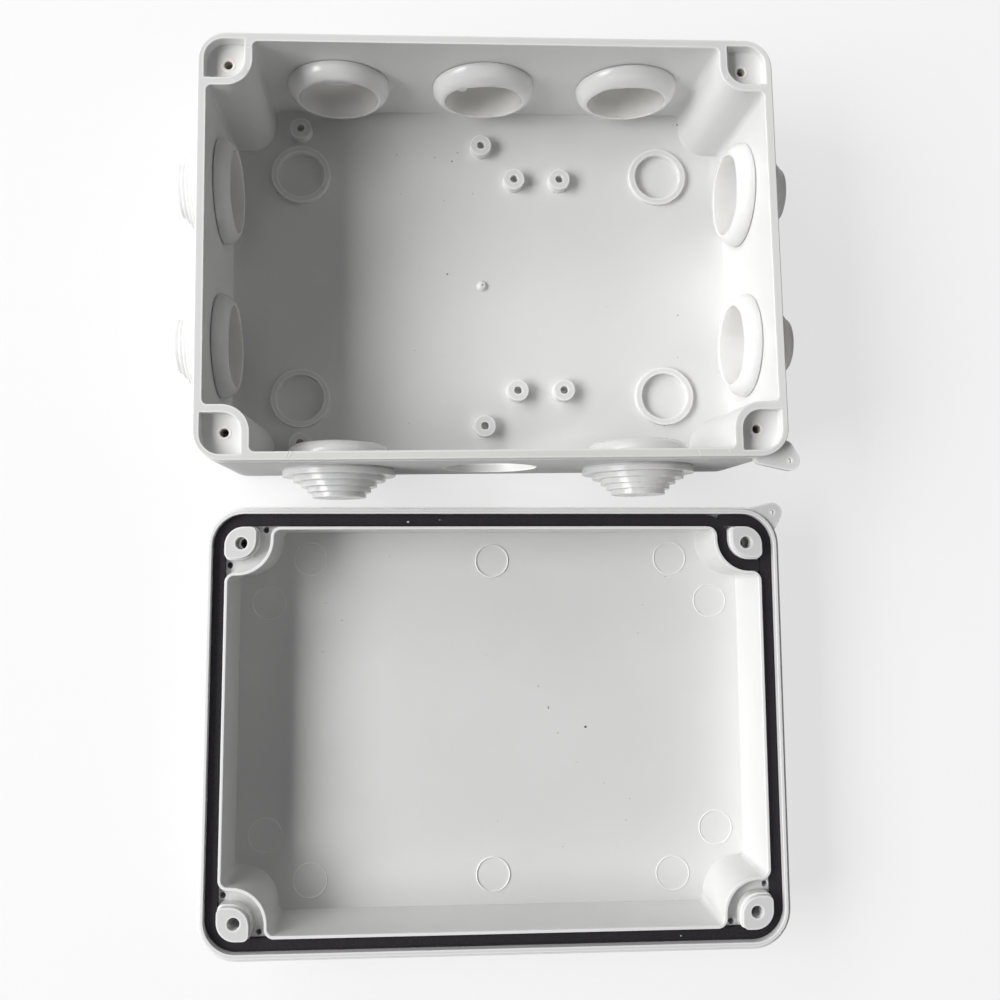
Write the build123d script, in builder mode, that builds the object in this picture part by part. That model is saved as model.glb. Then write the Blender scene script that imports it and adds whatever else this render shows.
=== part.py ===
"""Plastic junction box, open: base with cable grommets, and its lid lying in front of it, inside up.

Origin: centre of the base's back face. +X right, +Y away from the lid, +Z out of the box. Millimetres.
"""
import os

from build123d import *

os.makedirs("parts", exist_ok=True)

# Base shell
rim_half_x = 97.45          # centre to the outer face of the rim
rim_half_y = 72.05
rim_width = 2.9
rim_height = 2.8            # rim above the shoulder
shoulder = 0.3              # the walls stand this far outside the rim
base_height = 54.4          # back face to rim top
base_corner_radius = 9.5
floor_thickness = 2.5
back_edge_radius = 2.0
rim_edge_radius = 0.4

# Corner screw columns
screw_inset = 9.5           # rim's outer face to each lid screw axis
column_reach_x = 8.6        # screw axis to the column's face in the cavity
column_reach_y = 8.85
column_radius = 9.0
column_draft = 0.9          # degrees, wider towards the floor
column_fillet = 1.8         # where the column meets the walls
column_rim = 2.65           # rim left between the column's face and its pocket
pocket_depth = 4.1
pocket_wall = 2.15          # outer wall left beside the pocket
pocket_corner_radius = 6.8
pilot_depth = 22.0
pilot_chamfer = 0.45

# Cable entries
entry_radius = 16.6
entry_height = 24.4         # back face to each entry's axis
entry_from_end = 41.55      # end wall's inner face to the outer entries of the back and the front
entry_from_side = 40.85     # back and front walls' inner faces to the entries of the ends

# Floor details
ring_from_end = 25.5        # walls' inner faces to each raised ring's centre
ring_from_side = 25.75
ring_outer_radius = 11.1
ring_width = 2.3
ring_height = 1.8
ring_recess = 0.9           # the thin disc inside each ring, below the floor
boss_radius = 4.05
boss_height = 4.0
boss_hole_radius = 1.45
boss_hole_depth = 3.6
boss_centre_from_side = 14.5    # pair on the middle line, from the walls' inner faces
boss_inner_y = 41.25        # two pairs beside it, from the centre
boss_inner_x = 12.65
boss_outer_x = 30.2
boss_left_from_end = 25.65      # pair by the left columns, from the walls' inner faces
boss_left_from_side = 8.45
gate_radius = 2.2
gate_height = 1.2

# Seal ears, on one corner of the base and of the lid
ear_out_x = 0.95            # rim's outer face to the middle of the ear's hole
ear_out_y = 1.2
ear_radius = 3.4
ear_root_radius = 3.0
ear_side_root = (1.5, 3.75)     # the ear's two roots, back from its hole
ear_end_root = (9.1, 1.65)
ear_thickness = 2.0
ear_drop = 0.4              # base ear's face below the shoulder
ear_hole_radius = 0.8

# Grommets, from the wall's outer face outwards
flange_overlap = 3.2        # flange past the entry's edge
flange_thickness = 3.6
flange_chamfer = 0.5
flange_foot_inset = 0.5     # narrower first layer of the flange, on the wall
flange_foot_height = 1.0
tier_steps = [3.6, 2.95, 2.1, 1.7]      # each tier is this much smaller in radius than the last
tier_length = 1.85
neck_clearance = 0.12       # neck in its entry
bead_overlap = 2.0          # bead past the entry's edge, inside the wall
bead_gap = 0.8              # wall's inner face to the bead
bead_length = 4.8
mouth_inset = 4.1           # bead's widest to the mouth
mouth_edge_width = 0.9
grommet_wall = 1.35
tip_thickness = 1.2

# Lid, lying on its outer face
lid_offset_x = 1.25         # lid centre from the base's centre
lid_stand_off = 3.0         # front grommets' tips to the lid's edge
lid_turn = -0.68            # degrees, as it was laid down
lid_height = 27.9           # outer face to the outer lip
lid_floor_thickness = 2.5
lid_corner_radius = 13.2
lid_edge_radius = 3.0
outer_lip_x = 1.9           # outer lip's width at the ends
outer_lip_y = 2.35          # and along the sides
lip_step_width = 0.8        # small step outside the outer lip
lip_step_height = 0.8
flange_overhang = 3.8       # rim flange past the lid's walls
flange_height = 6.8
groove_depth = 4.5
groove_corner_radius = 11.0
rim_clearance = 0.7         # base's rim to the outer lip
rim_inner_clearance = 0.85  # base's rim to the inner lip
inner_lip_width = 1.0
inner_lip_drop = 0.7        # inner lip lower than the outer lip
column_clearance = 1.15     # base's column to the inner lip round it
recess_radius = 11.4        # inner lip's outer face, round each screw boss
recess_fillet = 2.4
cavity_draft = 0.8          # degrees

# Lid bosses, which stand in the base's pockets when the lid is on
pocket_clearance = 0.95
lid_boss_round = 6.4
lid_boss_small_round = 2.0
lid_boss_shoulder = 0.6     # low step round the boss's inner side
lid_boss_shoulder_drop = 1.8
seat_thickness = 7.1        # screw head's seat to the boss face
pin_hole_radius = 1.05
pin_hole_depth = 7.0
pin_hole_near = 4.7         # pin hole to the screw axis
pin_hole_far = 7.55

# Gasket strip
gasket_width = 4.0
gasket_thickness = 2.0
gasket_squeeze = 0.4        # when the lid is screwed down
gasket_gap = 0.3            # strip to the bosses
branch_width = 3.8
branch_lip_gap = 0.15       # branch to the inner lip
branch_bend_radius = 5.6
strip_slit = 0.15           # between the strip's second end and its side
strip_notch = 4.95          # strip's first end, from where the branch turns in

# Lid screws, backed out
screw_head_radius = 3.8
screw_head_height = 2.8
screw_head_chamfer = 0.8
screw_thread_radius = 1.9
screw_length = 19.0         # under the head
screw_point_length = 3.0
screw_rest_gap = 0.3        # head above the lid's outer face, inside the counterbore
head_clearance = 0.8        # head in its counterbore
thread_clearance = 0.2      # thread in the lid's hole
thread_bite = 0.3           # thread into the pilot hole's wall
cross_width = 1.1
cross_length = 4.2
cross_depth = 1.7

# Places worked out from the sizes above
screw_x = rim_half_x - screw_inset
screw_y = rim_half_y - screw_inset
inner_half_x = rim_half_x - rim_width
inner_half_y = rim_half_y - rim_width
wall_half_x = rim_half_x + shoulder
wall_half_y = rim_half_y + shoulder
wall_grip = rim_width + shoulder
shoulder_height = base_height - rim_height
pocket_floor_height = base_height - pocket_depth
pilot_radius = screw_thread_radius - thread_bite
ear_x = rim_half_x + ear_out_x
ear_y = rim_half_y + ear_out_y
groove_half_x = rim_half_x + rim_clearance
groove_half_y = rim_half_y + rim_clearance
groove_width = rim_clearance + rim_width + rim_inner_clearance
lid_half_x = groove_half_x + outer_lip_x
lid_half_y = groove_half_y + outer_lip_y
lid_body_x = lid_half_x - flange_overhang
lid_body_y = lid_half_y - flange_overhang
lid_inner_half_x = groove_half_x - groove_width - inner_lip_width
lid_inner_half_y = groove_half_y - groove_width - inner_lip_width
flange_underside_height = lid_height - flange_height
groove_floor_height = lid_height - groove_depth
inner_lip_height = lid_height - inner_lip_drop
recess_x = column_reach_x + column_clearance
recess_y = column_reach_y + column_clearance
strip_half_x = groove_half_x - (groove_width - gasket_width) / 2
strip_half_y = groove_half_y - (groove_width - gasket_width) / 2
strip_radius = groove_corner_radius - (groove_width - gasket_width) / 2
lid_boss_height = groove_floor_height + gasket_thickness - gasket_squeeze + pocket_depth
lid_shoulder_height = lid_boss_height - lid_boss_shoulder_drop
screw_seat_height = lid_boss_height - seat_thickness
counterbore_radius = screw_head_radius + head_clearance
screw_hole_radius = screw_thread_radius + thread_clearance
corner_signs = [(1, 1), (-1, 1), (-1, -1), (1, -1)]
corner_names = ["back_right", "back_left", "front_left", "front_right"]
screw_points = [(sx * screw_x, sy * screw_y) for sx, sy in corner_signs]
ring_x = inner_half_x - ring_from_end
ring_y = inner_half_y - ring_from_side
ring_points = [(sx * ring_x, sy * ring_y) for sx, sy in corner_signs]
boss_left_x = -inner_half_x + boss_left_from_end
boss_left_y = inner_half_y - boss_left_from_side
boss_points = [(boss_left_x, sy * boss_left_y) for sy in (1, -1)]
boss_points += [(x, sy * boss_inner_y) for x in (boss_inner_x, boss_outer_x) for sy in (1, -1)]
boss_points += [(0, sy * (inner_half_y - boss_centre_from_side)) for sy in (1, -1)]


def corner_block(x_low, x_high, y_low, y_high, inner_round, outer_round, side_round):
    """Face of one corner block in the +X +Y quadrant, rounded by its own radius at each corner."""
    corners = [
        ((x_low, y_low), inner_round), ((x_high, y_high), outer_round),
        ((x_low, y_high), side_round), ((x_high, y_low), side_round),
    ]
    with BuildSketch(Plane.XY) as block:
        with Locations(((x_low + x_high) / 2, (y_low + y_high) / 2)):
            Rectangle(x_high - x_low, y_high - y_low)
        for place, radius in corners:
            fillet(block.vertices().sort_by_distance(place)[0], radius)
    return block.sketch


def corner_blocks(face):
    """The same face in all four quadrants."""
    mirrored = face.mirror(Plane.YZ)
    return [face, mirrored, mirrored.mirror(Plane.XZ), face.mirror(Plane.XZ)]


# The column's outer side ends inside the walls
wall_sink = wall_grip / 5
column_face = corner_block(
    screw_x - column_reach_x, inner_half_x + wall_sink,
    screw_y - column_reach_y, inner_half_y + wall_sink,
    column_radius, base_corner_radius - rim_width, wall_sink / 2,
)
pocket_face = corner_block(
    screw_x - column_reach_x + column_rim, rim_half_x - pocket_wall,
    screw_y - column_reach_y + column_rim, rim_half_y - pocket_wall,
    column_radius - column_rim, pocket_corner_radius, 0.5,
)


def ear_face(side):
    """Seal ear on the +Y or -Y right corner: its end and its two roots, joined by tangents."""
    with BuildSketch(Plane.XY) as ear:
        with Locations((ear_x, side * ear_y)):
            Circle(ear_radius)
        roots = [(ear_x - dx, side * (ear_y - dy)) for dx, dy in (ear_side_root, ear_end_root)]
        with Locations(roots):
            Circle(ear_root_radius)
        make_hull()
        with Locations((ear_x, side * ear_y)):
            Circle(ear_hole_radius, mode=Mode.SUBTRACT)
    return ear.sketch


def entry_plane(x, y, across, outwards):
    """Plane on the wall's outer face at one cable entry, facing outwards."""
    return Plane((x, y, entry_height), x_dir=across, z_dir=outwards)


entry_x = inner_half_x - entry_from_end
entry_y = inner_half_y - entry_from_side
entries = {}
for name, offset in (("left", -entry_x), ("centre", 0), ("right", entry_x)):
    entries["back_" + name] = entry_plane(offset, wall_half_y, (1, 0, 0), (0, 1, 0))
    entries["front_" + name] = entry_plane(offset, -wall_half_y, (1, 0, 0), (0, -1, 0))
for name, offset in (("back", entry_y), ("front", -entry_y)):
    entries["left_" + name] = entry_plane(-wall_half_x, offset, (0, 1, 0), (-1, 0, 0))
    entries["right_" + name] = entry_plane(wall_half_x, offset, (0, 1, 0), (1, 0, 0))

# Base
with BuildPart() as base:
    with BuildSketch(Plane.XY):
        RectangleRounded(2 * wall_half_x, 2 * wall_half_y, base_corner_radius + shoulder)
    extrude(amount=shoulder_height)
    fillet(base.faces().sort_by(Axis.Z)[0].edges(), back_edge_radius)
    with BuildSketch(Plane.XY.offset(shoulder_height)):
        RectangleRounded(2 * rim_half_x, 2 * rim_half_y, base_corner_radius)
    extrude(amount=rim_height)
    fillet(base.faces().sort_by(Axis.Z)[-1].edges(), rim_edge_radius)
    with BuildSketch(Plane.XY.offset(shoulder_height - ear_drop)):
        add(ear_face(-1))
    extrude(amount=-ear_thickness)
    with BuildSketch(Plane.XY.offset(floor_thickness)):
        RectangleRounded(2 * inner_half_x, 2 * inner_half_y, base_corner_radius - rim_width)
    extrude(amount=base_height - floor_thickness, mode=Mode.SUBTRACT)
    for face in corner_blocks(column_face):
        with BuildSketch(Plane.XY.offset(base_height)):
            add(face)
        extrude(amount=-(base_height - floor_thickness), taper=-column_draft)
    column_seams = [
        edge for edge in base.edges()
        if edge.length > base_height / 2 and edge.geom_type == GeomType.LINE
        and (
            abs(abs(edge.center().X) - inner_half_x) < wall_grip / 10
            or abs(abs(edge.center().Y) - inner_half_y) < wall_grip / 10
        )
        and abs(edge.center().Z - (base_height + floor_thickness) / 2) < floor_thickness
    ]
    fillet(column_seams, column_fillet)
    for face in corner_blocks(pocket_face):
        with BuildSketch(Plane.XY.offset(base_height)):
            add(face)
        extrude(amount=-pocket_depth, mode=Mode.SUBTRACT)
    with Locations([(x, y, pocket_floor_height) for x, y in screw_points]):
        CounterSinkHole(pilot_radius, pilot_radius + pilot_chamfer, depth=pilot_depth)
    with Locations(list(entries.values())):
        Hole(entry_radius, depth=wall_grip)
    with BuildSketch(Plane.XY.offset(floor_thickness)):
        with Locations(ring_points):
            Circle(ring_outer_radius)
    extrude(amount=ring_height)
    with BuildSketch(Plane.XY.offset(floor_thickness + ring_height)):
        with Locations(ring_points):
            Circle(ring_outer_radius - ring_width)
    extrude(amount=-(ring_height + ring_recess), mode=Mode.SUBTRACT)
    with BuildSketch(Plane.XY.offset(floor_thickness)):
        with Locations(boss_points):
            Circle(boss_radius)
    extrude(amount=boss_height)
    with Locations([(x, y, floor_thickness + boss_height) for x, y in boss_points]):
        Hole(boss_hole_radius, depth=boss_hole_depth)
    with Locations((0, 0, floor_thickness)):
        Cone(gate_radius, gate_radius / 2, gate_height, align=(Align.CENTER, Align.CENTER, Align.MIN))
base.part.label = "base"
export_step(base.part, "parts/base.step")

# Grommets: one stepped cone of soft plastic, smooth inside and closed at its tip, drawn once
neck_radius = entry_radius - neck_clearance
flange_radius = entry_radius + flange_overlap
bead_radius = entry_radius + bead_overlap
mouth_radius = bead_radius - mouth_inset
bead_top = -wall_grip - bead_gap
mouth_edge = bead_top - bead_length
bead_curve = (mouth_inset ** 2 + bead_length ** 2) / (2 * mouth_inset)     # leaves the bead's widest straight

# Half section: X is the radius, Y the way out of the box, from the wall's outer face
flange_foot_radius = flange_radius - flange_foot_inset
outside = [
    (neck_radius, 0), (flange_foot_radius, 0), (flange_foot_radius, flange_foot_height),
    (flange_radius, flange_foot_height), (flange_radius, flange_thickness),
]
tier_radius = flange_radius
tier_foot = flange_thickness
for step in tier_steps:
    tier_radius -= step
    outside += [(tier_radius, tier_foot), (tier_radius, tier_foot + tier_length)]
    tier_foot += tier_length
outside += [(0, tier_foot)]
inside = [
    (mouth_radius - mouth_edge_width, mouth_edge),
    (flange_radius - tier_steps[0] - grommet_wall, flange_thickness - grommet_wall),
    (tier_radius - grommet_wall, tier_foot - tip_thickness), (0, tier_foot - tip_thickness),
]
with BuildSketch(Plane.XY) as half_section:
    with BuildLine():
        Polyline(*outside)
        Polyline((neck_radius, 0), (neck_radius, bead_top), (bead_radius, bead_top))
        RadiusArc((bead_radius, bead_top), (mouth_radius, mouth_edge), bead_curve)
        Line((mouth_radius, mouth_edge), inside[0])
        Polyline(*inside)
        Line(inside[-1], outside[-1])
    make_face()
    flange_edge = half_section.vertices().sort_by_distance((flange_radius, flange_thickness))[0]
    chamfer(flange_edge, flange_chamfer)

for name, plane in entries.items():
    if name == "front_centre":
        continue
    section_plane = Plane(plane.origin, x_dir=plane.x_dir, z_dir=plane.x_dir.cross(plane.z_dir))
    with BuildPart() as grommet:
        with BuildSketch(section_plane):
            add(half_section.sketch)
        revolve(axis=Axis(plane.origin, plane.z_dir))
    grommet.part.label = "grommet_" + name
    export_step(grommet.part, "parts/grommet_" + name + ".step")

# Lid: its own plane lies on the surface in front of the base, +Z into the lid
lid_plane = Plane.XY.rotated((0, 0, lid_turn))
lid_offset_y = -(wall_half_y + tier_foot + lid_stand_off + lid_half_y)
lid_plane.origin = (lid_offset_x, lid_offset_y, 0)


def lid_cavity_outline(grow):
    """Cavity outline, grown outwards by grow, going round the screw column at each corner."""
    half_x = lid_inner_half_x + grow
    half_y = lid_inner_half_y + grow
    bite_x = screw_x - recess_x - inner_lip_width + grow
    bite_y = screw_y - recess_y - inner_lip_width + grow
    with BuildSketch(Plane.XY) as outline:
        Rectangle(2 * half_x, 2 * half_y)
        with Locations([(sx * half_x, sy * half_y) for sx, sy in corner_signs]):
            Rectangle(2 * (half_x - bite_x), 2 * (half_y - bite_y), mode=Mode.SUBTRACT)
        for sx, sy in corner_signs:
            corner = outline.vertices().sort_by_distance((sx * bite_x, sy * bite_y))[0]
            fillet(corner, recess_radius + inner_lip_width - grow)
            for place in ((sx * half_x, sy * bite_y), (sx * bite_x, sy * half_y)):
                fillet(outline.vertices().sort_by_distance(place)[0], recess_fillet + grow)
    return outline.sketch


boss_low_x = screw_x - column_reach_x + column_rim + pocket_clearance
boss_low_y = screw_y - column_reach_y + column_rim + pocket_clearance
boss_high_x = strip_half_x - gasket_width - gasket_gap
boss_high_y = strip_half_y - gasket_width - gasket_gap
lid_boss_face = corner_block(
    boss_low_x, boss_high_x, boss_low_y, boss_high_y,
    lid_boss_round, lid_boss_round, lid_boss_small_round,
)
lid_shoulder_face = corner_block(
    boss_low_x - lid_boss_shoulder, boss_high_x, boss_low_y - lid_boss_shoulder, boss_high_y,
    lid_boss_round + lid_boss_shoulder, lid_boss_round, lid_boss_small_round,
)
pin_points = [(sx * (screw_x - pin_hole_far), sy * (screw_y + pin_hole_near)) for sx, sy in corner_signs]
pin_points += [(sx * (screw_x + pin_hole_near), sy * (screw_y - pin_hole_far)) for sx, sy in corner_signs]

with BuildPart() as lid:
    with BuildSketch(lid_plane):
        RectangleRounded(2 * lid_body_x, 2 * lid_body_y, lid_corner_radius - flange_overhang)
    extrude(amount=flange_underside_height)
    fillet(lid.faces().sort_by(Axis.Z)[0].edges(), lid_edge_radius)
    with BuildSketch(lid_plane.offset(flange_underside_height)):
        RectangleRounded(2 * lid_half_x, 2 * lid_half_y, lid_corner_radius)
    extrude(amount=flange_height - lip_step_height)
    with BuildSketch(lid_plane.offset(lid_height - lip_step_height)):
        RectangleRounded(
            2 * (lid_half_x - lip_step_width), 2 * (lid_half_y - lip_step_width),
            lid_corner_radius - lip_step_width,
        )
    extrude(amount=lip_step_height)
    with BuildSketch(lid_plane.offset(lid_height - lip_step_height)):
        add(ear_face(1))
    extrude(amount=-ear_thickness)
    with BuildSketch(lid_plane.offset(groove_floor_height)):
        RectangleRounded(2 * groove_half_x, 2 * groove_half_y, groove_corner_radius)
    extrude(amount=groove_depth, mode=Mode.SUBTRACT)
    with BuildSketch(lid_plane.offset(groove_floor_height)):
        add(lid_cavity_outline(inner_lip_width))
    extrude(amount=inner_lip_height - groove_floor_height)
    with BuildSketch(lid_plane.offset(inner_lip_height)):
        add(lid_cavity_outline(0))
    extrude(amount=-(inner_lip_height - lid_floor_thickness), taper=cavity_draft, mode=Mode.SUBTRACT)
    for face in corner_blocks(lid_shoulder_face):
        with BuildSketch(lid_plane.offset(groove_floor_height)):
            add(face)
        extrude(amount=lid_shoulder_height - groove_floor_height)
    for face in corner_blocks(lid_boss_face):
        with BuildSketch(lid_plane.offset(groove_floor_height)):
            add(face)
        extrude(amount=lid_boss_height - groove_floor_height)
    with BuildSketch(lid_plane):
        with Locations(screw_points):
            Circle(counterbore_radius)
    extrude(amount=screw_seat_height, mode=Mode.SUBTRACT)
    with BuildSketch(lid_plane.offset(screw_seat_height)):
        with Locations(screw_points):
            Circle(screw_hole_radius)
    extrude(amount=seat_thickness, mode=Mode.SUBTRACT)
    with BuildSketch(lid_plane.offset(groove_floor_height)):
        with Locations(pin_points):
            Circle(pin_hole_radius)
    extrude(amount=-pin_hole_depth, mode=Mode.SUBTRACT)
lid.part.label = "lid"
export_step(lid.part, "parts/lid.step")

# Gasket: one strip round the groove, whose last stretch turns inside the back right boss
branch_x = screw_x - recess_x + branch_lip_gap + branch_width / 2
branch_y = screw_y - recess_y + branch_lip_gap + branch_width / 2
branch_round = recess_radius - branch_lip_gap - branch_width / 2
strip_middle_y = strip_half_y - gasket_width / 2
turn_x = branch_x - branch_bend_radius
turn_y = strip_middle_y - branch_bend_radius
branch_end_x = strip_half_x - gasket_width - strip_slit

with BuildPart() as lid_gasket:
    with BuildSketch(lid_plane.offset(groove_floor_height)):
        RectangleRounded(2 * strip_half_x, 2 * strip_half_y, strip_radius)
        RectangleRounded(
            2 * (strip_half_x - gasket_width), 2 * (strip_half_y - gasket_width),
            strip_radius - gasket_width, mode=Mode.SUBTRACT,
        )
        with Locations((turn_x + strip_notch / 2, strip_middle_y)):
            Rectangle(strip_notch, 2 * gasket_width, mode=Mode.SUBTRACT)
        with BuildLine():
            Line((turn_x - gasket_width, strip_middle_y), (turn_x, strip_middle_y))
            RadiusArc((turn_x, strip_middle_y), (branch_x, turn_y), branch_bend_radius)
            Line((branch_x, turn_y), (branch_x, branch_y + branch_round))
            RadiusArc((branch_x, branch_y + branch_round), (branch_x + branch_round, branch_y), -branch_round)
            Line((branch_x + branch_round, branch_y), (branch_end_x, branch_y))
        trace(line_width=branch_width)
    extrude(amount=gasket_thickness)
lid_gasket.part.label = "lid_gasket"
export_step(lid_gasket.part, "parts/lid_gasket.step")

# Lid screws, one in each corner, points up inside the lid's bosses
for (x, y), name in zip(screw_points, corner_names):
    head_plane = Plane(lid_plane.from_local_coords((x, y, screw_rest_gap)))
    with BuildPart() as lid_screw:
        with BuildSketch(head_plane):
            Circle(screw_head_radius)
        extrude(amount=screw_head_height)
        chamfer(lid_screw.faces().sort_by(Axis.Z)[0].edges(), screw_head_chamfer)
        with BuildSketch(head_plane.offset(screw_head_height)):
            Circle(screw_thread_radius)
        extrude(amount=screw_length - screw_point_length)
        with BuildSketch(head_plane.offset(screw_head_height + screw_length - screw_point_length)):
            Circle(screw_thread_radius)
        with BuildSketch(head_plane.offset(screw_head_height + screw_length)):
            Circle(screw_thread_radius / 4)
        loft()
        with BuildSketch(head_plane):
            Rectangle(cross_length, cross_width)
            Rectangle(cross_width, cross_length)
        extrude(amount=cross_depth, mode=Mode.SUBTRACT)
    lid_screw.part.label = "lid_screw_" + name
    export_step(lid_screw.part, "parts/lid_screw_" + name + ".step")
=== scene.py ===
import math

import bmesh
import bpy
from mathutils import Matrix, Vector, noise as softNoise


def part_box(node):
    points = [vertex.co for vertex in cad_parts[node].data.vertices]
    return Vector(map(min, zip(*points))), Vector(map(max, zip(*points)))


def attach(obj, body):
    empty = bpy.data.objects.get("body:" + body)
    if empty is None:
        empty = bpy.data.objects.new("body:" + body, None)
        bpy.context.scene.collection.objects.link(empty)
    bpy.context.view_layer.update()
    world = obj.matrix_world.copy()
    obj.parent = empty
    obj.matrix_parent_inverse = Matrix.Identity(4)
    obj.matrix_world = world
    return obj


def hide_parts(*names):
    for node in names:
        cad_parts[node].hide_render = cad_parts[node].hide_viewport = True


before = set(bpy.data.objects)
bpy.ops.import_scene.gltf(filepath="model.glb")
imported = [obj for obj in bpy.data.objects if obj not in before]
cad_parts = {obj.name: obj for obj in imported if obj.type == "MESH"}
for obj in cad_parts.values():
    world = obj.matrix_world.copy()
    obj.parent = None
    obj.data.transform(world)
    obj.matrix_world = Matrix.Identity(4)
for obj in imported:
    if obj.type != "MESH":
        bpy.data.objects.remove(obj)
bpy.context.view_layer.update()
scene = bpy.context.scene
mm = 0.001
toMetres = Matrix.Scale(mm, 4)
weldDistance = 0.0005
print("frame loaded:", len(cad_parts), "nodes")

# Camera, solved from the photograph's edges and circles
view = {
    "place": (-0.025511, -0.105134, 0.370763),
    "turn": (-0.1027, 0.0572, 0.0117),      # world to camera: one rotation, in radians along its axis
    "lens": 35.389,
    "sensor": 36.0,
    "shift": (0.025852, -0.039726),
    "nearest": 0.01,
}
turnVector = Vector(view["turn"])
cameraData = bpy.data.cameras.new("camera")
cameraData.lens = view["lens"]
cameraData.sensor_width = view["sensor"]
cameraData.shift_x, cameraData.shift_y = view["shift"]
cameraData.clip_start = view["nearest"]
camera = bpy.data.objects.new("camera", cameraData)
worldToCamera = Matrix.Rotation(turnVector.length, 4, turnVector.normalized())
camera.matrix_world = Matrix.Translation(view["place"]) @ worldToCamera.transposed()
scene.collection.objects.link(camera)
scene.camera = camera
print("camera set")

# Light: a wide window on the left, a smaller one behind it, and what the room gives back
lamps = {
    "window": {"elevation": 37.0, "azimuth": 181.0, "size": (1.84, 1.13), "watts": 63.0},
    "backWindow": {"elevation": 30.0, "azimuth": 135.0, "size": (1.2, 0.6), "watts": 16.0},
    "frontRoom": {"elevation": 20.0, "azimuth": 270.0, "size": (2.4, 1.0), "watts": 5.5},
    "rightRoom": {"elevation": 35.0, "azimuth": 20.0, "size": (1.6, 1.2), "watts": 3.5},
}
room = {"fill": (0.03, 0.03, 0.031), "seen": (1, 1, 1), "lampDistance": 2.4, "middle": (0, -0.08, 0.03)}
floorLook = {
    "size": 6.0, "drop": 0.0002, "colour": (0.42, 0.42, 0.42),
    "seenColour": (0.95, 0.95, 0.95), "seenWhite": 0.7,
}
middle = Vector(room["middle"])
for name, lamp in lamps.items():
    lampData = bpy.data.lights.new(name, "AREA")
    lampData.shape = "RECTANGLE"
    lampData.size, lampData.size_y = lamp["size"]
    lampData.energy = lamp["watts"]
    lampObject = bpy.data.objects.new(name, lampData)
    up, around = math.radians(lamp["elevation"]), math.radians(lamp["azimuth"])
    way = Vector((math.cos(up) * math.cos(around), math.cos(up) * math.sin(around), math.sin(up)))
    lampObject.location = middle + room["lampDistance"] * way
    lampObject.rotation_euler = (middle - lampObject.location).to_track_quat("-Z", "Y").to_euler()
    scene.collection.objects.link(lampObject)


def maths(tree, operation, *values):
    # One sum on values that are numbers or outputs of other nodes
    node = tree.nodes.new("ShaderNodeMath")
    node.operation = operation
    for socket, value in zip(node.inputs, values):
        if isinstance(value, float):
            socket.default_value = value
        else:
            tree.links.new(value, socket)
    return node.outputs[0]


def seenDirectly(tree):
    # One where the ray is the camera's, or a reflection or see-through of it
    path = tree.nodes.new("ShaderNodeLightPath").outputs
    either = maths(tree, "MAXIMUM", path["Is Camera Ray"], path["Is Glossy Ray"])
    return maths(tree, "MAXIMUM", either, path["Is Transmission Ray"])


def coloured(tree, kind, colour):
    node = tree.nodes.new(kind)
    node.inputs["Color"].default_value = (*colour, 1)
    return node.outputs[0]


def mixedShader(tree, share, first, second):
    node = tree.nodes.new("ShaderNodeMixShader")
    if isinstance(share, float):
        node.inputs[0].default_value = share
    else:
        tree.links.new(share, node.inputs[0])
    tree.links.new(first, node.inputs[1])
    tree.links.new(second, node.inputs[2])
    return node.outputs[0]


world = bpy.data.worlds.new("room")
scene.world = world
world.use_nodes = True
scene.view_settings.view_transform = "Standard"
tree = world.node_tree
tree.nodes.clear()
fill = coloured(tree, "ShaderNodeBackground", room["fill"])
white = coloured(tree, "ShaderNodeBackground", room["seen"])
out = tree.nodes.new("ShaderNodeOutputWorld")
tree.links.new(mixedShader(tree, seenDirectly(tree), fill, white), out.inputs["Surface"])

# Floor: pale to the camera, and duller for the light it throws back at the object
bm = bmesh.new()
bmesh.ops.create_grid(bm, x_segments=1, y_segments=1, size=floorLook["size"] / 2)
floorMesh = bpy.data.meshes.new("floor")
bm.to_mesh(floorMesh)
bm.free()
floorMesh.transform(Matrix.Translation((0, 0, -floorLook["drop"])))
floor = bpy.data.objects.new("floor", floorMesh)
scene.collection.objects.link(floor)
floorMaterial = bpy.data.materials.new("paleFloor")
floorMaterial.use_nodes = True
tree = floorMaterial.node_tree
tree.nodes.clear()
dull = coloured(tree, "ShaderNodeBsdfDiffuse", floorLook["colour"])
pale = coloured(tree, "ShaderNodeBsdfDiffuse", floorLook["seenColour"])
glow = coloured(tree, "ShaderNodeEmission", room["seen"])
seen = mixedShader(tree, floorLook["seenWhite"], pale, glow)
out = tree.nodes.new("ShaderNodeOutputMaterial")
tree.links.new(mixedShader(tree, seenDirectly(tree), dull, seen), out.inputs["Surface"])
floor.data.materials.append(floorMaterial)
print("light and floor set")

# What every material shares
finish = {
    "noiseMiddle": (0.3, 0.7), "openness": (0.97, 0.68), "edgeSamples": 8, "roundSamples": 6,
}


def startMaterial(name):
    material = bpy.data.materials.new(name)
    material.use_nodes = True
    tree = material.node_tree
    shader = tree.nodes["Principled BSDF"]
    coords = tree.nodes.new("ShaderNodeTexCoord").outputs["Object"]
    return material, tree, shader, coords


def noise(tree, coords, size, detail=3.0, rough=0.5):
    # Noise whose features are about size metres across
    node = tree.nodes.new("ShaderNodeTexNoise")
    node.inputs["Scale"].default_value = 1.0 / size
    node.inputs["Detail"].default_value = detail
    node.inputs["Roughness"].default_value = rough
    tree.links.new(coords, node.inputs["Vector"])
    return node.outputs["Fac"]


def ramp(tree, value, stops, first, second):
    # Colour that goes from first to second between two stops of a value
    node = tree.nodes.new("ShaderNodeValToRGB")
    for element, stop, colour in zip(node.color_ramp.elements, stops, (first, second)):
        element.position = stop
        element.color = (*colour, 1)
    tree.links.new(value, node.inputs["Fac"])
    return node.outputs["Color"]


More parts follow.
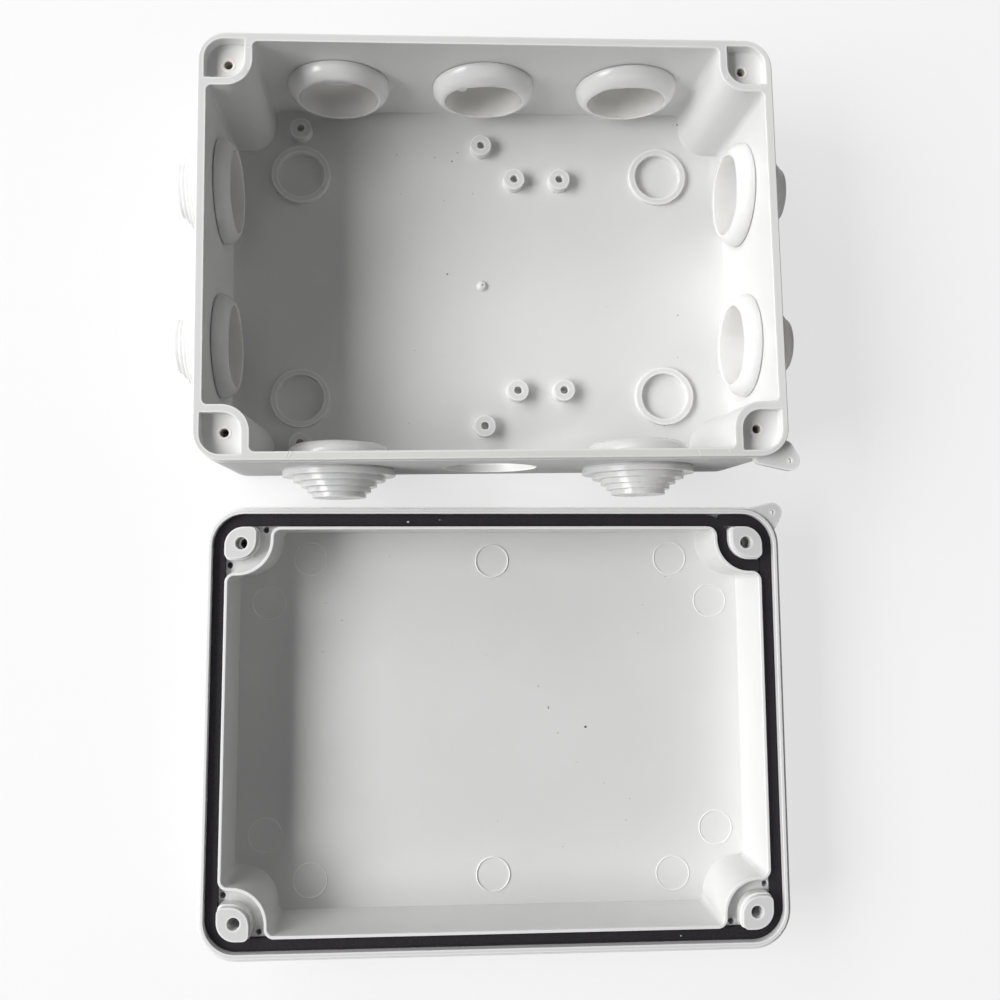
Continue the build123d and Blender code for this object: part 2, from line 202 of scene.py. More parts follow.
def mapped(tree, value, source, target=(0.0, 1.0)):
    # Value that runs over the target while the given one runs over the source
    node = tree.nodes.new("ShaderNodeMapRange")
    for socket, number in zip(("From Min", "From Max", "To Min", "To Max"), (*source, *target)):
        node.inputs[socket].default_value = number
    tree.links.new(value, node.inputs["Value"])
    return node.outputs["Result"]


def bump(tree, height, distance, normal=None):
    node = tree.nodes.new("ShaderNodeBump")
    node.inputs["Distance"].default_value = distance
    tree.links.new(height, node.inputs["Height"])
    if normal is not None:
        tree.links.new(normal, node.inputs["Normal"])
    return node.outputs["Normal"]


def mixed(tree, share, first, second):
    # Colour going from first to second as the share goes from nought to one
    node = tree.nodes.new("ShaderNodeMix")
    node.data_type = "RGBA"
    tree.links.new(share, node.inputs["Factor"])
    for socket, value in ((node.inputs[6], first), (node.inputs[7], second)):
        if isinstance(value, tuple):
            socket.default_value = (*value, 1)
        else:
            tree.links.new(value, socket)
    return node.outputs[2]


def mixedValue(tree, share, first, second):
    # Plain number going from first to second as the share goes from nought to one
    node = tree.nodes.new("ShaderNodeMapRange")
    tree.links.new(share, node.inputs["Value"])
    tree.links.new(first, node.inputs["To Min"])
    node.inputs["To Max"].default_value = second
    return node.outputs["Result"]


def paintedEdgeHighlight(tree, reach, most):
    # Painted highlight: how near a point is to an outward edge, where light caught by the small rounds and
    # let through the thin plastic is painted in as a paler colour
    node = tree.nodes.new("ShaderNodeAmbientOcclusion")
    node.inside = True
    node.only_local = True
    node.samples = finish["edgeSamples"]
    node.inputs["Distance"].default_value = reach
    return mapped(tree, node.outputs["AO"], finish["openness"], (0.0, most))


def softEdges(tree, radius):
    # Small moulded radius on every sharp edge, as the shader sees it
    node = tree.nodes.new("ShaderNodeBevel")
    node.samples = finish["roundSamples"]
    node.inputs["Radius"].default_value = radius
    return node.outputs["Normal"]


def split(tree, coords):
    node = tree.nodes.new("ShaderNodeSeparateXYZ")
    tree.links.new(coords, node.inputs[0])
    return node.outputs


def dress(node, material):
    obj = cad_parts[node]
    obj.data.materials.clear()
    obj.data.materials.append(material)


def addPiece(name, bm, material, body, replaced=(), smooth=True):
    mesh = bpy.data.meshes.new(name)
    bm.to_mesh(mesh)
    bm.free()
    for face in mesh.polygons:
        face.use_smooth = smooth
    mesh.materials.append(material)
    piece = bpy.data.objects.new(name, mesh)
    scene.collection.objects.link(piece)
    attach(piece, body)
    if replaced:
        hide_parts(*replaced)
    return piece


def addChain(bm, points):
    # Row of joined points, each given by its radius and height
    verts = [bm.verts.new((radius, 0, height)) for radius, height in points]
    return verts, [bm.edges.new(pair) for pair in zip(verts, verts[1:])]


def turnFully(bm, geom, steps):
    bmesh.ops.spin(
        bm, geom=geom, cent=(0, 0, 0), axis=(0, 0, 1), angle=math.tau, steps=steps,
        use_merge=True, use_duplicate=False,
    )
    bmesh.ops.remove_doubles(bm, verts=bm.verts, dist=weldDistance)


def turned(points, steps):
    bm = bmesh.new()
    verts, edges = addChain(bm, points)
    turnFully(bm, verts + edges, steps)
    bmesh.ops.recalc_face_normals(bm, faces=bm.faces)
    return bm


def addThread(bm, profile, start, pitch, steps, turns):
    # Ribbon wound up the axis; the profile's heights are shares of the pitch
    verts, edges = addChain(bm, [(radius, start + pitch * rise) for radius, rise in profile])
    bmesh.ops.spin(
        bm, geom=verts + edges, cent=(0, 0, 0), axis=(0, 0, 1), angle=math.tau * turns,
        dvec=(0, 0, pitch / steps), steps=steps * turns, use_duplicate=False,
    )


def addShape(bm, shape, x, y):
    # Puts a shape into a larger one at a place, and frees it
    bmesh.ops.translate(shape, vec=(x, y, 0), verts=shape.verts)
    mesh = bpy.data.meshes.new("shape")
    shape.to_mesh(mesh)
    shape.free()
    bm.from_mesh(mesh)
    bpy.data.meshes.remove(mesh)


# White moulded housing: base and lid
housing = {
    # Base and lid are one plastic; the base is painted a little paler, painted light that brightens its
    # deep inside
    "base": {"pale": (0.785, 0.785, 0.780), "dull": (0.765, 0.764, 0.760)},
    "lid": {"pale": (0.752, 0.752, 0.748), "dull": (0.732, 0.731, 0.726)},
    "cloudSize": 0.045, "cloudDetail": 4.0, "cloudRough": 0.6, "cloudStops": (0.35, 0.6),
    "gloss": (0.29, 0.37), "glossSize": 0.02, "ior": 1.52, "grainSize": 0.0006, "grainDepth": 0.000004,
    "waveSize": 0.035, "waveDetail": 1.0, "waveDepth": 0.00006, "edge": 0.00035,
    # The edge colour, its reach and its share paint a highlight on outward edges
    "edgeColour": (0.97, 0.97, 0.965), "edgeReach": 0.0008, "edgeShare": 0.9,
    "rimTint": (0.765, 0.765, 0.727), "rimHeight": 0.0541, "rimSide": (-0.060, -0.067),
    "rightRim": (0.87, 0.87, 0.86), "rightRimSide": (0.080, 0.0945),
    "outside": {"X": 0.0971, "Y": 0.0717}, "outsideGloss": 0.62,
}


def rimShare(tree, coords, axis, reach):
    # Share of the top rim's own colour, going up along one axis
    parts = split(tree, coords)
    above = maths(tree, "GREATER_THAN", parts["Z"], housing["rimHeight"])
    return maths(tree, "MULTIPLY", above, mapped(tree, parts[axis], reach))


def outsideShare(tree, coords):
    # One on the base's outer walls: past the inside's reach along X or Y
    parts = split(tree, coords)
    past = [
        maths(tree, "GREATER_THAN", maths(tree, "ABSOLUTE", parts[axis]), reach)
        for axis, reach in housing["outside"].items()
    ]
    return maths(tree, "MAXIMUM", *past)


def housingMaterial(name, tint):
    material, tree, shader, coords = startMaterial(name)
    clouds = noise(tree, coords, housing["cloudSize"], housing["cloudDetail"], housing["cloudRough"])
    colour = ramp(tree, clouds, housing["cloudStops"], tint["dull"], tint["pale"])
    shine = mapped(
        tree, noise(tree, coords, housing["glossSize"]), finish["noiseMiddle"], housing["gloss"],
    )
    if tint is housing["base"]:
        # The right rim is painted a little paler and the front one a little darker and yellower, and the
        # outside is matt
        right = rimShare(tree, coords, "X", housing["rightRimSide"])
        front = rimShare(tree, coords, "Y", housing["rimSide"])
        colour = mixed(tree, right, colour, housing["rightRim"])
        colour = mixed(tree, front, colour, housing["rimTint"])
        shine = mixedValue(tree, outsideShare(tree, coords), shine, housing["outsideGloss"])
    # Outward edges are painted paler: a painted highlight
    edges = paintedEdgeHighlight(tree, housing["edgeReach"], housing["edgeShare"])
    tree.links.new(mixed(tree, edges, colour, housing["edgeColour"]), shader.inputs["Base Color"])
    tree.links.new(shine, shader.inputs["Roughness"])
    shader.inputs["IOR"].default_value = housing["ior"]
    rounded = softEdges(tree, housing["edge"])
    swell = noise(tree, coords, housing["waveSize"], housing["waveDetail"])
    waves = bump(tree, swell, housing["waveDepth"], rounded)
    grain = bump(tree, noise(tree, coords, housing["grainSize"]), housing["grainDepth"], waves)
    tree.links.new(grain, shader.inputs["Normal"])
    return material


baseMaterial = housingMaterial("housingBase", housing["base"])
lidMaterial = housingMaterial("housingLid", housing["lid"])
dress("base", baseMaterial)
dress("lid", lidMaterial)
print("housing dressed")

# Soft translucent grommets, turned from one half section, in millimetres
grommet = {
    "pale": (0.805, 0.805, 0.80), "deep": (0.785, 0.782, 0.772),
    "cloudSize": 0.012, "cloudStops": (0.35, 0.65), "gloss": (0.17, 0.26),
    # The inner cone's colour and its share on each side are a painted glow
    "hollow": (0.98, 0.962, 0.92), "hollowShare": {"back": 1.0, "left": 1.0, "front": 0.7, "right": 0.35},
    "waveSize": 0.006, "waveDetail": 2.0, "waveDepth": 0.00004,
    "scatter": 0.85, "scatterReach": (0.0046, 0.0045, 0.0042), "scatterScale": 1.0,
    # The edge colour, its reach and its share paint a highlight on outward edges and the mouth's lip
    "edgeColour": (0.96, 0.96, 0.95), "edgeReach": 0.0007, "edgeShare": 0.7,
    "steps": 144, "edge": 0.3, "edgeSegments": 3, "edgeAngle": 32, "standOut": 11.0, "seat": 0.02,
    "flange": 19.8, "foot": (19.4, 0.8), "flangeThickness": 3.6, "pressedFlange": 2.7, "neck": 16.48,
    "tiers": [16.2, 13.25, 11.15, 9.45], "tierLength": 1.85,
    "beadBack": -3.5, "bead": 18.6, "mouth": 15.2, "mouthWall": 0.9, "curvePoints": 12,
    "mouthReach": {
        "back": 9.2, "back_left": 9.1, "back_right": 9.0, "front": 8.6, "left": 8.55, "right": 8.8,
    },
    "mouthSquash": {"back": 0.845, "back_left": 1.0, "back_right": 0.875},
    "inner": [(14.85, 0.7), (12.45, 1.7), (8.1, 6.2)],      # way from the flange's outer face
    "seed": (97, 3.1, 7.7), "wobble": 0.36, "wobblePitch": 0.11, "wobbleFrom": 0.5, "wobbleGrow": 3,
    "wobbleRadius": 18, "wobbleAlong": 0.8,
}
# Flash left at the mouth by the mould: clock angle, half width, and how far it hangs into the mouth
flashTabs = {
    "grommet_back_left": [(84, 3.8, 3.0), (138, 0.9, 0.5), (147, 0.7, 0.4)],
    "grommet_back_centre": [(52, 1.7, 2.6), (106, 2.2, 0.8)],
    "grommet_back_right": [(129, 1.2, 0.8), (64, 0.8, 0.4)],
}
flashLook = {"root": 0.5, "deep": 0.35, "thickness": 0.45, "segments": 28}
outwards = {"back": (0, 1, 0), "front": (0, -1, 0), "left": (-1, 0, 0), "right": (1, 0, 0)}

grommetMaterial, tree, shader, coords = startMaterial("softGrommet")
clouds = noise(tree, coords, grommet["cloudSize"])
colour = ramp(tree, clouds, grommet["cloudStops"], grommet["deep"], grommet["pale"])
# Painted glow: the inner cone is painted paler and warmer, more on the sides that face the window, standing
# in for light coming through the thin wall
hollowGlowNode = tree.nodes.new("ShaderNodeAttribute")
hollowGlowNode.attribute_name = "hollow"
colour = mixed(tree, hollowGlowNode.outputs["Fac"], colour, grommet["hollow"])
# Outward edges and the mouth's lip are painted paler: a painted highlight
edges = paintedEdgeHighlight(tree, grommet["edgeReach"], grommet["edgeShare"])
tree.links.new(mixed(tree, edges, colour, grommet["edgeColour"]), shader.inputs["Base Color"])
shine = mapped(tree, clouds, finish["noiseMiddle"], grommet["gloss"])
tree.links.new(shine, shader.inputs["Roughness"])
shader.inputs["Subsurface Weight"].default_value = grommet["scatter"]
shader.inputs["Subsurface Radius"].default_value = grommet["scatterReach"]
shader.inputs["Subsurface Scale"].default_value = grommet["scatterScale"]
swell = noise(tree, coords, grommet["waveSize"], grommet["waveDetail"])
tree.links.new(bump(tree, swell, grommet["waveDepth"]), shader.inputs["Normal"])


def grommetSection(reach, thickness):
    # Radius and way out of the box, in millimetres from the wall's outer face
    g = grommet
    count = len(g["tiers"])
    points = [(0, thickness + count * g["tierLength"])]
    for number in range(count, 0, -1):
        foot = thickness + (number - 1) * g["tierLength"]
        points += [(g["tiers"][number - 1], foot + g["tierLength"]), (g["tiers"][number - 1], foot)]
    points += [(g["flange"], thickness), (g["flange"], g["foot"][1]), g["foot"], (g["foot"][0], g["seat"])]
    points += [(g["neck"], g["seat"]), (g["neck"], g["beadBack"])]
    # The bead is an arc that starts along the axis
    inset, length = g["bead"] - g["mouth"], reach + g["beadBack"]
    curve = (inset ** 2 + length ** 2) / (2 * inset)
    sweep = math.asin(min(1.0, length / curve))
    for number in range(g["curvePoints"] + 1):
        angle = sweep * number / g["curvePoints"]
        points.append((g["bead"] - curve * (1 - math.cos(angle)), g["beadBack"] - curve * math.sin(angle)))
    points.append((g["mouth"] - g["mouthWall"], -reach))
    points += [(radius, thickness + way) for radius, way in g["inner"]]
    return points + [(0, points[-1][1])]


def unevenMouth(bm, name, reach, squash):
    # Bead and mouth are a little uneven and pressed flat, as soft mouldings are
    g = grommet
    seed = Vector((sum(map(ord, name)) % g["seed"][0], *g["seed"][1:]))
    for vert in bm.verts:
        depth = g["beadBack"] - vert.co.z
        if depth > g["wobbleFrom"]:
            share = min(1.0, depth / g["wobbleGrow"])
            push = softNoise.noise(vert.co * g["wobblePitch"] + seed) * g["wobble"] * share
            vert.co.x *= 1 + push / g["wobbleRadius"]
            vert.co.y *= 1 + push / g["wobbleRadius"]
            vert.co.z += push * g["wobbleAlong"]
            depth = g["beadBack"] - vert.co.z
            vert.co.y *= 1 - (1 - squash) * min(1.0, depth / (reach + g["beadBack"])) ** 2


def addFlash(bm, tab, reach, squash):
    # Thin oval tab, rooted in the mouth's lip
    clock, halfWidth, hang = tab
    depth = (hang + flashLook["root"]) / 2
    rim = grommet["mouth"] - grommet["mouthWall"] + flashLook["root"] - depth
    spot = Matrix.Diagonal((1, squash, 1, 1)) @ Matrix.Rotation(math.radians(clock), 4, "Z")
    spot = spot @ Matrix.Translation((rim, 0, -reach + flashLook["deep"]))
    spot = spot @ Matrix.Diagonal((depth, halfWidth, 1, 1))
    disc = bmesh.ops.create_circle(
        bm, cap_ends=True, radius=1.0, segments=flashLook["segments"], matrix=spot,
    )
    face = list({f for v in disc["verts"] for f in v.link_faces})
    grown = bmesh.ops.extrude_face_region(bm, geom=face)
    moved = [v for v in grown["geom"] if isinstance(v, bmesh.types.BMVert)]
    bmesh.ops.translate(bm, vec=(0, 0, flashLook["thickness"]), verts=moved)


for name in sorted(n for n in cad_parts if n.startswith("grommet_")):
    spotName = name.removeprefix("grommet_")
    side = spotName.split("_")[0]
    low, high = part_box(name)
    centre = [(a + b) / 2 for a, b in zip(low, high)]
    out = Vector(outwards[side])
    along = 1 if side in ("back", "front") else 0
    tip = high[along] if out[along] > 0 else low[along]
    centre[along] = tip - out[along] * grommet["standOut"] * mm
    across = Vector((0, 0, 1)).cross(out)
    turn = Matrix((across, Vector((0, 0, 1)), out)).transposed().to_4x4()
    reach = grommet["mouthReach"].get(spotName, grommet["mouthReach"][side])
    squash = grommet["mouthSquash"].get(spotName, grommet["mouthSquash"].get(side, 1.0))
    thickness = grommet["pressedFlange" if side == "front" else "flangeThickness"]
    bm = bmesh.new()
    hollowGlowLayer = bm.verts.layers.float.new("hollow")
    verts, edges = addChain(bm, grommetSection(reach, thickness))
    # Share of the painted glow for the inner cone's points, set per side
    for vert in verts[-len(grommet["inner"]) - 1:]:
        vert[hollowGlowLayer] = grommet["hollowShare"][side]
    turnFully(bm, verts + edges, grommet["steps"])
    unevenMouth(bm, name, reach, squash)
    for tab in flashTabs.get(name, []):
        addFlash(bm, tab, reach, squash)
    bmesh.ops.recalc_face_normals(bm, faces=bm.faces)
    bmesh.ops.transform(bm, matrix=Matrix.Translation(centre) @ turn @ toMetres, verts=bm.verts)
    piece = addPiece("soft_" + name, bm, grommetMaterial, "base", [name])
    rounding = piece.modifiers.new("rounding", "BEVEL")
    rounding.width = grommet["edge"] * mm
    rounding.segments = grommet["edgeSegments"]
    rounding.limit_method = "ANGLE"
    rounding.angle_limit = math.radians(grommet["edgeAngle"])
    rounding.harden_normals = True
print("grommets turned")

# Black foam gasket: the groove's strip with soft cut edges
gasket = {
    "dark": (0.009, 0.008, 0.010), "grey": (0.022, 0.019, 0.023), "shine": 0.22, "rough": 0.62,
    "cellSize": 0.0005, "cellDetail": 4.0, "cellRough": 0.7, "cellStops": (0.4, 0.62), "cellDepth": 0.00004,
    "sagSize": 0.006, "sagDetail": 1.0, "sagDepth": 0.0003,
    "weld": 0.000002, "flatAngle": 1.5, "cornerAngle": 50, "round": 0.00035, "segments": 3,
}
material, tree, shader, coords = startMaterial("foamGasket")
cells = noise(tree, coords, gasket["cellSize"], gasket["cellDetail"], gasket["cellRough"])
colour = ramp(tree, cells, gasket["cellStops"], gasket["dark"], gasket["grey"])
tree.links.new(colour, shader.inputs["Base Color"])
shader.inputs["Roughness"].default_value = gasket["rough"]
shader.inputs["Specular IOR Level"].default_value = gasket["shine"]
sag = bump(tree, noise(tree, coords, gasket["sagSize"], gasket["sagDetail"]), gasket["sagDepth"])
tree.links.new(bump(tree, cells, gasket["cellDepth"], sag), shader.inputs["Normal"])
bm = bmesh.new()
bm.from_mesh(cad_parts["lid_gasket"].data)
bmesh.ops.remove_doubles(bm, verts=bm.verts, dist=gasket["weld"])
bmesh.ops.dissolve_limit(
    bm, angle_limit=math.radians(gasket["flatAngle"]), verts=bm.verts, edges=bm.edges,
)
sharpest = math.radians(gasket["cornerAngle"])
corners = [e for e in bm.edges if len(e.link_faces) == 2 and e.calc_face_angle(0) > sharpest]
bmesh.ops.bevel(
    bm, geom=corners, offset=gasket["round"], segments=gasket["segments"], profile=0.5, affect="EDGES",
    material=-1, clamp_overlap=True,
)
bmesh.ops.triangulate(bm, faces=bm.faces)
piece = addPiece("foam_gasket", bm, material, "lid", ["lid_gasket"], smooth=False)
print("gasket made:", len(piece.data.polygons), "faces")

# Zinc plated lid screws, in millimetres: turned head with a cross, rolled thread and a point
screw = {
    "bright": (0.66, 0.66, 0.65), "dull": (0.50, 0.50, 0.49), "gloss": (0.25, 0.45),
    "spotSize": 0.0012, "spotDetail": 4.0, "spotStops": (0.35, 0.6),
    "head": 3.8, "headHeight": 2.8, "headRound": 0.8, "headSteps": 56, "splitAngle": 32,
    "headCurve": [(1.2, 0), (0.5, 0.2), (0.12, 0.6), (0, 1.2)],      # inwards and up, in rounds
    "core": 1.35, "crest": 1.88, "pitch": 1.25, "length": 19.0, "plainNeck": 1.2, "turnSteps": 28,
    "threadSunk": 0.05, "threadRise": (0.42, 0.5, 0.92),
    "point": 3.0, "pointWaist": (0.75, 0.5), "tip": (0.15, 0.1), "taper": 0.85, "taperFrom": 0.9,
    "crossLength": 4.2, "crossWidth": 1.1, "crossDepth": 1.7, "crossTaper": 0.55,
    "turnChoices": 7, "turnStep": 0.4,
}
screwMaterial, tree, shader, coords = startMaterial("zincScrew")
spots = noise(tree, coords, screw["spotSize"], screw["spotDetail"])
colour = ramp(tree, spots, screw["spotStops"], screw["dull"], screw["bright"])
tree.links.new(colour, shader.inputs["Base Color"])
shine = mapped(tree, spots, finish["noiseMiddle"], screw["gloss"])
tree.links.new(shine, shader.inputs["Roughness"])
shader.inputs["Metallic"].default_value = 1.0


def baked(bm, cutter):
    # The first shape with the second cut out of it
    made = []
    for shape in (bm, cutter):
        mesh = bpy.data.meshes.new("shape")
        shape.to_mesh(mesh)
        shape.free()
        made.append(bpy.data.objects.new("shape", mesh))
        scene.collection.objects.link(made[-1])
    cut = made[0].modifiers.new("cut", "BOOLEAN")
    cut.operation, cut.object, cut.solver = "DIFFERENCE", made[1], "EXACT"
    graph = bpy.context.evaluated_depsgraph_get()
    result = bpy.data.meshes.new_from_object(made[0].evaluated_get(graph))
    for obj in made:
        bpy.data.objects.remove(obj)
    bm = bmesh.new()
    bm.from_mesh(result)
    bpy.data.meshes.remove(result)
    return bm


def crossCutter():
    # Two bars across each other, narrower where they go deep
    s = screw
    bm = bmesh.new()
    for turn in (0, 90):
        bar = bmesh.ops.create_cube(bm, size=1.0)["verts"]
        bmesh.ops.scale(bm, vec=(s["crossLength"], s["crossWidth"], 2 * s["crossDepth"]), verts=bar)
        quarter = Matrix.Rotation(math.radians(turn), 3, "Z")
        bmesh.ops.rotate(bm, cent=(0, 0, 0), matrix=quarter, verts=bar)
    for vert in bm.verts:
        if vert.co.z > 0:
            vert.co.x *= s["crossTaper"]
            vert.co.y *= s["crossTaper"]
    return bm


def screwShape():
    # Head down at nought, point up
    s = screw
    top, end = s["headHeight"], s["headHeight"] + s["length"]
    tipStart = end - s["point"]
    points = [(0, 0)]
    points += [(s["head"] - s["headRound"] * inward, s["headRound"] * up) for inward, up in s["headCurve"]]
    points += [(s["head"], top), (s["core"], top), (s["core"], tipStart)]
    points += [(s["core"] * s["pointWaist"][0], end - s["point"] * s["pointWaist"][1])]
    points += [(s["tip"][0], end - s["tip"][1]), (0, end)]
    bm = baked(turned(points, s["headSteps"]), crossCutter())
    turns = int((s["length"] - s["plainNeck"]) / s["pitch"]) - 1
    sunk = s["core"] - s["threadSunk"]
    rise = s["threadRise"]
    profile = [(sunk, 0), (s["crest"], rise[0]), (s["crest"], rise[1]), (sunk, rise[2])]
    addThread(bm, profile, top + s["plainNeck"], s["pitch"], s["turnSteps"], turns)
    for vert in bm.verts:
        if vert.co.z > tipStart and vert.co.xy.length > s["core"] * s["taperFrom"]:
            taper = 1 - s["taper"] * (vert.co.z - tipStart) / s["point"]
            vert.co.x *= taper
            vert.co.y *= taper
    bmesh.ops.recalc_face_normals(bm, faces=bm.faces)
    return bm


screwBm = screwShape()
for name in sorted(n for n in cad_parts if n.startswith("lid_screw_")):
    low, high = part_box(name)
    foot = Vector(((low[0] + high[0]) / 2, (low[1] + high[1]) / 2, low[2]))
    turn = Matrix.Rotation(sum(map(ord, name)) % screw["turnChoices"] * screw["turnStep"], 4, "Z")
    bm = screwBm.copy()
    bmesh.ops.transform(bm, matrix=Matrix.Translation(foot) @ toMetres @ turn, verts=bm.verts)
    piece = addPiece("threaded_" + name, bm, screwMaterial, name.replace("lid_", ""), [name])
    sharp = piece.modifiers.new("edges", "EDGE_SPLIT")
    sharp.split_angle = math.radians(screw["splitAngle"])
screwBm.free()
print("screws made")

# The lid lies a little turned beside the base: its middle in millimetres, its turn in degrees
lidLie = {"middle": (1.25, -161.45), "turn": -0.68}
lidPlace = Matrix.Translation((lidLie["middle"][0] * mm, lidLie["middle"][1] * mm, 0))
lidPlace = lidPlace @ Matrix.Rotation(math.radians(lidLie["turn"]), 4, "Z") @ toMetres

# Thin rings that the mould's ejector pins left on the lid's inner face: place, and how strong each is
marks = {
    "places": [
        (-67.1, 57.2, 0.6), (67.1, 57.2, 1.0), (-65.7, -57.2, 1.0), (65.7, -57.2, 0.8),
        (0, 56.4, 1.3), (0, -56.4, 1.2),
        (-82, 41.3, 0.6), (82, 41.3, 0.8), (-82, -41.3, 0.6), (82, -41.3, 0.9),
    ],
    "radius": 6.0, "width": 0.42, "top": 0.2, "height": 0.3, "floor": 2.5, "sunk": 0.02, "steps": 72,
}
bm = bmesh.new()
foot = marks["floor"] - marks["sunk"]
for x, y, strength in marks["places"]:
    top = marks["floor"] + marks["height"] * strength
    addShape(bm, turned([
        (marks["radius"] - marks["width"] / 2, foot), (marks["radius"] - marks["top"] / 2, top),
        (marks["radius"] + marks["top"] / 2, top), (marks["radius"] + marks["width"] / 2, foot),
    ], marks["steps"]), x, y)
bmesh.ops.transform(bm, matrix=lidPlace, verts=bm.verts)
piece = addPiece("ejector_rings", bm, lidMaterial, "lid", smooth=False)

# Small pin marks on the base's rim, and scratches: place, way in degrees, length
rimMarks = {
    "pins": [(-80.5, 67.6), (94.1, 55.1)],
    "pinRadius": 0.95, "pinWidth": 0.34, "pinSteps": 40, "height": 0.1, "rim": 54.4, "sunk": 0.02,
    "scratches": [
        (-82.0, 58.6, 55, 2.2), (-81.3, 58.0, 50, 2.4), (-85.4, 55.2, -35, 2.4), (81.8, 58.6, -60, 2.0),
        (-82.4, -59.3, -50, 2.2), (-81.6, -59.6, -50, 2.8), (-67.4, -70.5, 62, 3.2),
        (-66.1, -70.4, 58, 3.0), (67.2, -70.6, 118, 2.6), (77.4, -70.7, 122, 2.4),
    ],
    "scratchWidth": 0.26, "scratchSegments": (16, 8),
}
bm = bmesh.new()
foot = rimMarks["rim"] - rimMarks["sunk"]
for x, y in rimMarks["pins"]:
    addShape(bm, turned([
        (rimMarks["pinRadius"] - rimMarks["pinWidth"] / 2, foot),
        (rimMarks["pinRadius"], rimMarks["rim"] + rimMarks["height"]),
        (rimMarks["pinRadius"] + rimMarks["pinWidth"] / 2, foot),
    ], rimMarks["pinSteps"]), x, y)
around, along = rimMarks["scratchSegments"]
for x, y, way, length in rimMarks["scratches"]:
    spot = Matrix.Translation((x, y, rimMarks["rim"])) @ Matrix.Rotation(math.radians(way), 4, "Z")
    spot = spot @ Matrix.Diagonal((length / 2, rimMarks["scratchWidth"] / 2, rimMarks["height"], 1))
    bmesh.ops.create_uvsphere(bm, u_segments=around, v_segments=along, radius=1.0, matrix=spot)
bmesh.ops.transform(bm, matrix=toMetres, verts=bm.verts)
piece = addPiece("rim_marks", bm, baseMaterial, "base", smooth=False)
print("ejector rings and rim marks made")

# Screw holes in the base's corners: the rim that the screws pushed up, and the thread they cut
hole = {
    "places": [(-87.95, 62.55), (87.95, 62.55), (-87.95, -62.55), (87.95, -62.55)], "floor": 50.3,
    "bore": 1.6, "behind": 0.02, "thread": 1.34, "threadRise": (0.2, 0.4),
    "pitch": 1.25, "turns": 5, "steps": 28, "start": 0.9, "rimSteps": 40,
    "rim": [(1.62, -1.3), (1.42, -1.1), (1.42, -0.12), (1.62, 0.1), (2.2, 0.14), (2.42, -0.02)],
    # Pale is a painted highlight on the pushed-up rim; the deep brown comes in below the given depth and in
    # random specks
    "pale": (0.91, 0.89, 0.86), "worn": (0.46, 0.39, 0.34), "wornDepth": (0.0503, 0.0499),
    "dirtSize": 0.0008, "dirtShare": 0.35, "rough": 0.4,
}
# The rim is painted paler, a painted highlight for its lit edge; below it the bore goes darker and browner
# towards the bottom, and noise adds specks of dirt
material, tree, shader, coords = startMaterial("wornHole")
depth = mapped(tree, split(tree, coords)["Z"], hole["wornDepth"])
colour = mixed(tree, depth, hole["pale"], hole["worn"])
dirt = noise(tree, coords, hole["dirtSize"])
dirt = mapped(tree, dirt, finish["noiseMiddle"], (0.0, hole["dirtShare"]))
tree.links.new(mixed(tree, dirt, colour, hole["worn"]), shader.inputs["Base Color"])
shader.inputs["Roughness"].default_value = hole["rough"]
one = turned([(radius, hole["floor"] + height) for radius, height in hole["rim"]], hole["rimSteps"])
behind = hole["bore"] + hole["behind"]
profile = [(behind, 0), (hole["thread"], hole["threadRise"][0]), (behind, hole["threadRise"][1])]
start = hole["floor"] - hole["start"] - hole["pitch"] * hole["turns"]
addThread(one, profile, start, hole["pitch"], hole["steps"], hole["turns"])
bmesh.ops.recalc_face_normals(one, faces=one.faces)
bm = bmesh.new()
for x, y in hole["places"]:
    addShape(bm, one.copy(), x, y)
one.free()
bmesh.ops.transform(bm, matrix=toMetres, verts=bm.verts)
piece = addPiece("screw_hole_threads", bm, material, "base", smooth=False)
print("screw holes made")

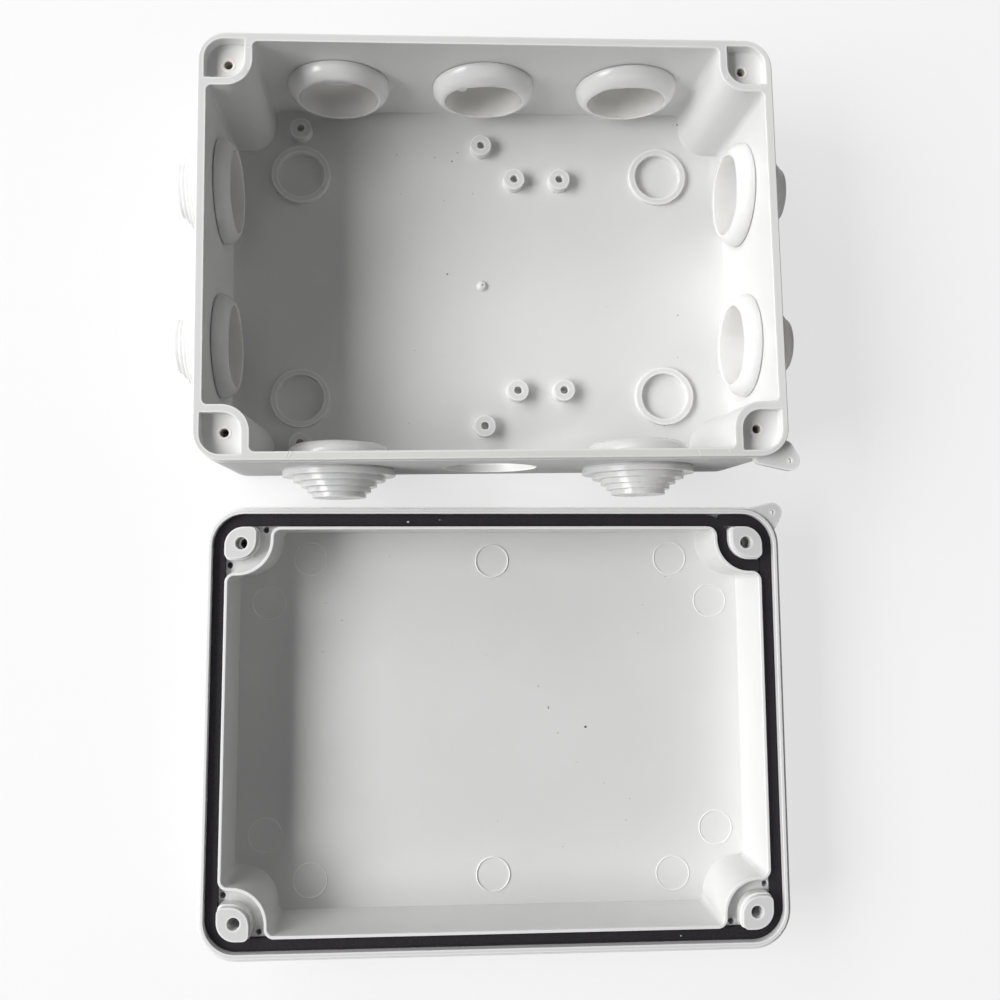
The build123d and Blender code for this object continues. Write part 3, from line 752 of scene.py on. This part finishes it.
# Dust: dark and pale specks, in millimetres: place, radius, and a height of its own where it has one
dust = {
    "dark": (0.10, 0.085, 0.07), "pale": (0.62, 0.62, 0.60), "paler": 1.25, "rough": 0.8,
    "grainSize": 0.0003, "grainStops": (0.3, 0.7), "shape": (1.0, 0.85, 0.35), "subdivisions": 2,
    "floor": 2.5, "gasketTop": 26.9,
    "base": [
        (-13.4, 4.7, 0.36), (-11.1, 49.7, 0.34), (-17.7, 51.1, 0.22), (75.8, -11.4, 0.26),
        (-8.9, 53.2, 0.24), (-32.4, 52.1, 0.2), (-28.5, -53.0, 0.18), (-26.1, -25.1, 0.16),
        (-3.1, 36.7, 0.17), (-14.2, 33.9, 0.17), (28.5, 37.4, 0.16), (-78.3, 36.6, 0.16),
        (75.1, -28.0, 0.16), (-31.2, 36.4, 0.15), (48.0, -8.0, 0.15), (78.3, 65.5, 0.32),
        (76.7, 65.4, 0.16), (69.0, -54.6, 0.2), (93.6, -50.5, 0.2), (0.1, 0.3, 0.3, 3.7),
    ],
    "lid": [
        (34.4, -4.7, 0.5), (20.7, 2.6, 0.27), (20.75, 2.1, 0.22), (17.1, 10.2, 0.2), (24.1, -6.8, 0.2),
        (78.0, 37.1, 0.24), (40.9, -25.0, 0.15), (50.4, -30.7, 0.17), (48.9, -38.2, 0.16),
        (25.4, -47.3, 0.14), (1.8, -37.8, 0.13), (31.1, -17.3, 0.16), (-61.3, 41.0, 0.18),
        (-55.4, 34.6, 0.19), (-62.1, 23.4, 0.17), (-37.9, 58.1, 0.15), (-2.3, 21.8, 0.13),
        (56.6, 39.8, 0.16), (54.7, 29.4, 0.14), (65.5, 50.3, 0.17),
    ],
    "gasket": [(-31.0, 69.9, 0.42), (62.0, -70.4, 0.25), (-20.0, 70.6, 0.18)],
}


def specks(name, places, height, colour, body):
    material, tree, shader, coords = startMaterial(name)
    paler = tuple(dust["paler"] * share for share in colour)
    grains = ramp(tree, noise(tree, coords, dust["grainSize"]), dust["grainStops"], colour, paler)
    tree.links.new(grains, shader.inputs["Base Color"])
    shader.inputs["Roughness"].default_value = dust["rough"]
    bm = bmesh.new()
    for x, y, radius, *own in places:
        spot = Matrix.Translation((x, y, own[0] if own else height))
        spot = spot @ Matrix.Diagonal((*(radius * share for share in dust["shape"]), 1))
        bmesh.ops.create_icosphere(bm, subdivisions=dust["subdivisions"], radius=1.0, matrix=spot)
    bmesh.ops.transform(bm, matrix=toMetres if body == "base" else lidPlace, verts=bm.verts)
    return addPiece(name, bm, material, body)


specks("floor_specks", dust["base"], dust["floor"], dust["dark"], "base")
specks("lid_specks", dust["lid"], dust["floor"], dust["dark"], "lid")
specks("gasket_specks", dust["gasket"], dust["gasketTop"], dust["pale"], "lid")
print("dust placed")
